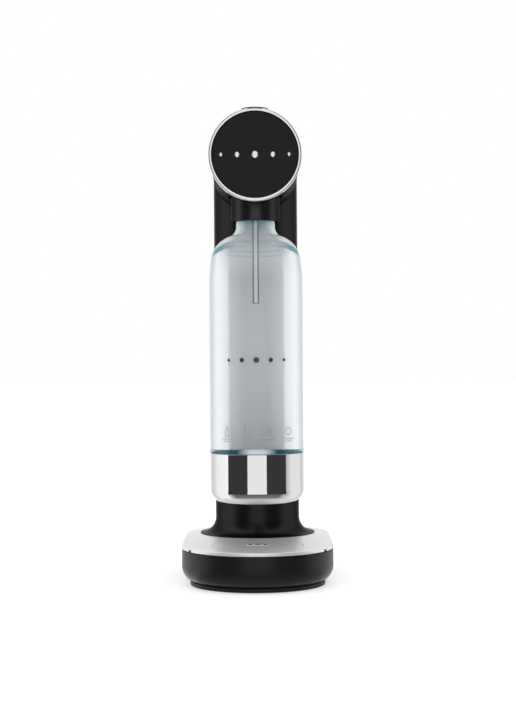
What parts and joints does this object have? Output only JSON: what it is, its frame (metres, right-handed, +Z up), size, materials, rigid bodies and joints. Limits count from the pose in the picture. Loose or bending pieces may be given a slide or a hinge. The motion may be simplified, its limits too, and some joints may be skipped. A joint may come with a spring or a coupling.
{
  "type": "soda carbonator",
  "caption": "Column-shaped drinks carbonator with a clear bottle in a tilting holder under a drum-shaped head, a push button, a gas cylinder in the column and a steel drip tray.",
  "frame": {"origin": "on the table under the middle of the base", "axes": "+Z up the column, front is -Y, +X to the right seen from the front"},
  "size_m": [0.14, 0.238, 0.438],
  "materials": {
    "housing": "fine matte black with a soft sheen",
    "underside": "matte moulded black",
    "rubber": "matte black rubber",
    "fastener": "zinc-plated steel",
    "frame_grey": "glass-filled grey plastic",
    "disc_black": "smooth satin black",
    "ring_chrome": "polished chrome",
    "emblem_chrome": "polished chrome studs",
    "frame_black": "moulded black plastic",
    "brass_block": "machined brass",
    "brass_fitting": "turned brass",
    "hose_rubber": "braided-look black pressure hose",
    "bezel_chrome": "polished chrome",
    "pin_steel": "ground steel",
    "magnet": "nickel-plated magnet",
    "button_black": "matte black",
    "button_steel": "spun steel",
    "spring_steel": "bright spring wire",
    "lever_steel": "pressed steel",
    "collar_black": "matte black plastic",
    "nozzle_clear": "pale grey moulded plastic",
    "bottle_clear": "clear plastic with a pale blue tint",
    "cup_steel": "polished stainless steel",
    "cylinder_paint": "painted steel",
    "tray_steel": "fine brushed stainless steel",
    "mark_steel": "polished inlay"
  },
  "bodies": {
    "stand": {"base_shell": "housing", "base_plate": "underside", "rubber_feet": "rubber", "base_screws": "fastener", "column_shell": "housing", "spine": "frame_grey", "column_screws": "fastener", "head_shell": "housing", "front_disc": "disc_black", "trim_ring": "ring_chrome", "emblem_dots": "emblem_chrome", "disc_carrier": "frame_black", "head_frame": "frame_grey", "gas_manifold": "brass_block", "manifold_seal": "rubber", "relief_valve": "brass_fitting", "gas_hose": "hose_rubber", "hose_fittings": "brass_fitting", "button_bezel": "bezel_chrome", "lever_pivot_pin": "pin_steel", "holder_pivot_pins": "pin_steel", "frame_screws": "fastener", "cylinder_cradle": "frame_black", "cradle_pad": "rubber", "cover_magnets": "magnet", "button_spring": "spring_steel"},
    "button": {"button_cap": "button_black", "button_inlay": "button_steel", "button_stem": "pin_steel"},
    "lever": {"lever_arm": "lever_steel", "lever_pad": "pin_steel"},
    "plunger": {"valve_pin": "pin_steel"},
    "holder": {"bottle_holder": "collar_black", "neck_seal": "rubber", "nozzle_holder": "frame_black", "nozzle": "nozzle_clear"},
    "bottle": {"bottle_body": "bottle_clear", "bottle_cup": "cup_steel"},
    "gas_cylinder": {"co2_cylinder": "cylinder_paint", "cylinder_valve": "brass_block"},
    "back_cover": {"rear_cover": "housing", "cover_keepers": "lever_steel"},
    "tray": {"drip_tray": "tray_steel", "tray_mark": "mark_steel"}
  },
  "joints": [
    {"name": "button_press", "type": "slide", "parent": "stand", "child": "button", "axis": [0, 0, -1], "range_m": [0, 0.01], "stiffness_N_per_m": 800, "springref_m": -0.01, "deforming": ["button_spring"]},
    {"name": "lever_rock", "type": "hinge", "parent": "stand", "child": "lever", "pos_m": [0, 0.074, 0.398], "axis": [1, 0, 0], "range_deg": [0, 4.4]},
    {"name": "valve_push", "type": "slide", "parent": "stand", "child": "plunger", "axis": [0, 0, -1], "range_m": [0, 0.0018]},
    {"name": "holder_tilt", "type": "hinge", "parent": "stand", "child": "holder", "pos_m": [0, -0.045, 0.368], "axis": [-1, 0, 0], "range_deg": [0, 15]},
    {"name": "bottle_drop", "type": "slide", "parent": "holder", "child": "bottle", "axis": [0, 0, -1], "range_m": [0, 0.037]},
    {"name": "cylinder_unscrew", "type": "hinge", "parent": "stand", "child": "gas_cylinder", "pos_m": [0, 0.051, 0.2], "axis": [0, 0, -1], "range_deg": [0, 720]},
    {"name": "cover_pull", "type": "slide", "parent": "stand", "child": "back_cover", "axis": [0, 1, 0], "range_m": [0, 0.1]},
    {"name": "tray_slide", "type": "slide", "parent": "stand", "child": "tray", "axis": [0, -1, 0], "range_m": [0, 0.12]}
  ],
  "couplings": [
    {"joint": "lever_rock", "follows": "button_press", "rad_per_m": 7.5188},
    {"joint": "valve_push", "follows": "button_press", "ratio": 0.1729}
  ]
}
